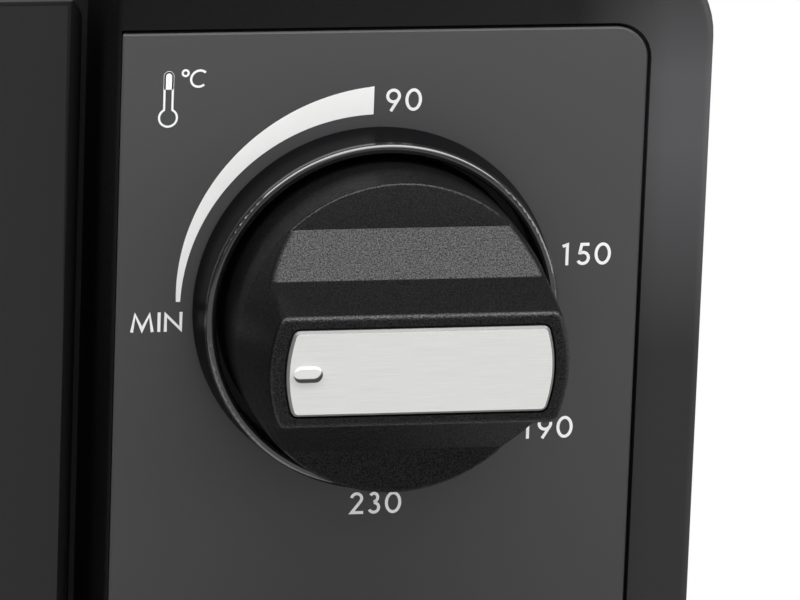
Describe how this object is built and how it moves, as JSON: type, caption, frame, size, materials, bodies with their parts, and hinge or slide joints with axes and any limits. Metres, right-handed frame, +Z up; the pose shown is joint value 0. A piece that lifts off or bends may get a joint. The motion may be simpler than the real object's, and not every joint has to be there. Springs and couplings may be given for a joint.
{
  "type": "countertop oven",
  "caption": "Compact black countertop oven with a drop-down glass door, a raised grey control panel with rotary knobs, a wire rack, a baking tray and a crumb drawer.",
  "frame": {"origin": "on the table, under the middle of the oven's outer box", "axes": "+X to the right for someone facing the oven, the front faces -Y, +Z up"},
  "size_m": [0.45, 0.3574, 0.275],
  "materials": {
    "body_paint": "satin black baked paint",
    "zinc_sheet": "bright zinc-plated steel sheet",
    "cavity_steel": "aluminised steel sheet",
    "fascia_plastic": "finely grained black moulding",
    "panel_grey": "smooth satin charcoal coating",
    "bezel_gloss": "polished black moulding",
    "knob_plastic": "spark-eroded matt black moulding",
    "plate_metal": "brushed along its length",
    "door_plastic": "black moulding",
    "door_glass": "clear tempered pane, slightly smoked",
    "handle_steel": "brushed stainless tube",
    "heater_sheath": "oxidised steel sheath",
    "ceramic": "glazed ceramic",
    "chromed_wire": "chromed steel wire",
    "tray_enamel": "black enamel",
    "switch_moulding": "pale heat-proof moulding",
    "copper": "drawn copper",
    "bell_steel": "nickel-plated steel",
    "lens_amber": "translucent amber cap",
    "gland_rubber": "moulded rubber"
  },
  "bodies": {
    "case": {"base_plate": "zinc_sheet", "bulb_clips": "zinc_sheet", "cavity_back_wall": "cavity_steel", "cavity_floor": "cavity_steel", "cavity_left_wall": "cavity_steel", "cavity_right_wall": "cavity_steel", "cavity_roof": "cavity_steel", "control_bracket": "zinc_sheet", "control_fascia": "fascia_plastic", "control_nuts": "zinc_sheet", "control_panel": "panel_grey", "cord_gland": "gland_rubber", "element_insulators": "ceramic", "feet": "fascia_plastic", "foot_pads": "gland_rubber", "front_frame": "body_paint", "function_bezel": "bezel_gloss", "function_switch": "switch_moulding", "heat_shield": "zinc_sheet", "hinge_brackets": "zinc_sheet", "hinge_pins": "zinc_sheet", "indicator_lamp": "switch_moulding", "indicator_lens": "lens_amber", "lower_heating_elements": "heater_sheath", "outer_shell": "body_paint", "rear_panel": "body_paint", "temperature_bezel": "bezel_gloss", "terminal_block": "ceramic", "thermostat": "switch_moulding", "thermostat_bulb": "copper", "timer": "zinc_sheet", "timer_bell": "bell_steel", "timer_bezel": "bezel_gloss", "upper_heating_elements": "heater_sheath", "wall_spacers": "fascia_plastic"},
    "door": {"door_frame": "door_plastic", "door_glass": "door_glass", "door_glass_retainer": "zinc_sheet", "door_handle": "handle_steel", "handle_posts": "door_plastic", "door_stays": "zinc_sheet"},
    "rack": {"wire_rack": "chromed_wire", "baking_tray": "tray_enamel"},
    "crumb_drawer": {"crumb_tray": "zinc_sheet"},
    "temperature_control": {"temperature_knob": "knob_plastic", "temperature_knob_plate": "plate_metal", "temperature_shaft": "zinc_sheet"},
    "function_control": {"function_knob": "knob_plastic", "function_knob_plate": "plate_metal", "function_shaft": "zinc_sheet"},
    "timer_control": {"timer_knob": "knob_plastic", "timer_knob_plate": "plate_metal", "timer_shaft": "zinc_sheet"}
  },
  "joints": [
    {"name": "door_hinge", "type": "hinge", "parent": "case", "child": "door", "pos_m": [0, -0.12825, 0.046], "axis": [1, 0, 0], "range_deg": [0, 90], "stiffness_Nm_per_rad": 0.15, "springref_deg": -57.3},
    {"name": "rack_slide", "type": "slide", "parent": "case", "child": "rack", "axis": [0, -1, 0], "range_m": [0, 0.11]},
    {"name": "crumb_drawer_slide", "type": "slide", "parent": "case", "child": "crumb_drawer", "axis": [0, -1, 0], "range_m": [0, 0.15]},
    {"name": "temperature_knob_turn", "type": "hinge", "parent": "case", "child": "temperature_control", "pos_m": [0.17775, -0.14525, 0.22465], "axis": [0, 1, 0], "range_deg": [0, 270]},
    {"name": "function_knob_turn", "type": "hinge", "parent": "case", "child": "function_control", "pos_m": [0.17775, -0.14525, 0.1445], "axis": [0, 1, 0], "range_deg": [0, 180]},
    {"name": "timer_knob_turn", "type": "hinge", "parent": "case", "child": "timer_control", "pos_m": [0.17775, -0.14525, 0.06435], "axis": [0, 1, 0], "range_deg": [0, 300]}
  ],
  "couplings": [
    {"joint": "rack_slide", "follows": "door_hinge", "m_per_rad": 0.07}
  ]
}
